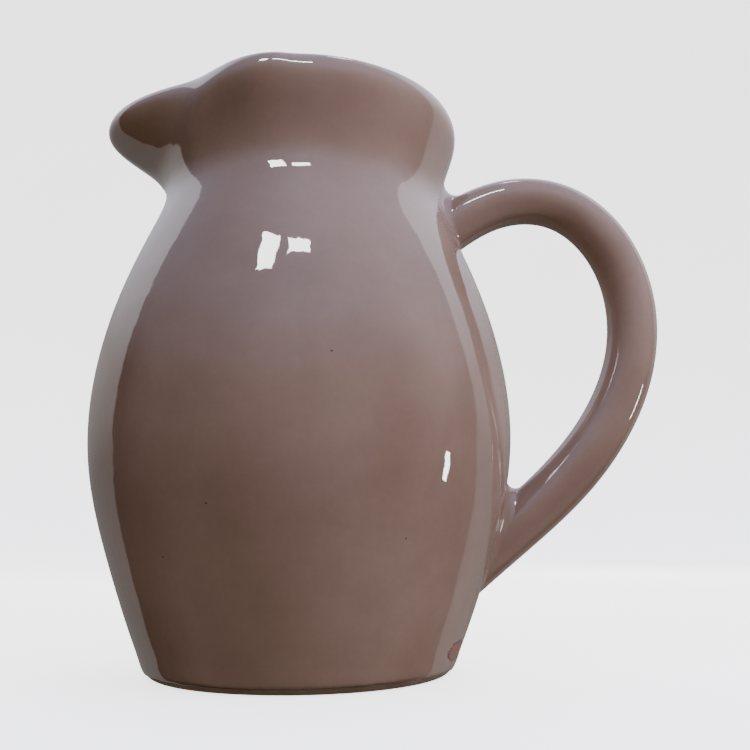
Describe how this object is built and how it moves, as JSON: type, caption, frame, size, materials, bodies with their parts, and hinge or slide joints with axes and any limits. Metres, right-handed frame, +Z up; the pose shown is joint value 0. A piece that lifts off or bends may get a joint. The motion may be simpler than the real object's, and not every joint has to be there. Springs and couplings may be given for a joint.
{
  "type": "ceramic pitcher",
  "caption": "Round-bellied glazed ceramic pitcher with a flared rim, a pulled pouring spout and a thick loop handle opposite it.",
  "frame": {"origin": "centre of the foot, on the surface the pitcher stands on", "axes": "+Z up along the axis of the pot, +X towards the handle, -X towards the spout; symmetric about y = 0"},
  "size_m": [0.2044, 0.1474, 0.2],
  "materials": {
    "fired_clay": "bare fired clay, matt",
    "glaze": "glossy brown glaze"
  },
  "bodies": {
    "root": {"vessel": "fired_clay", "handle": "fired_clay", "upper_joint_slip": "fired_clay", "lower_joint_slip": "fired_clay", "outer_glaze": "glaze", "liner_glaze": "glaze", "base_glaze": "glaze"}
  },
  "joints": []
}
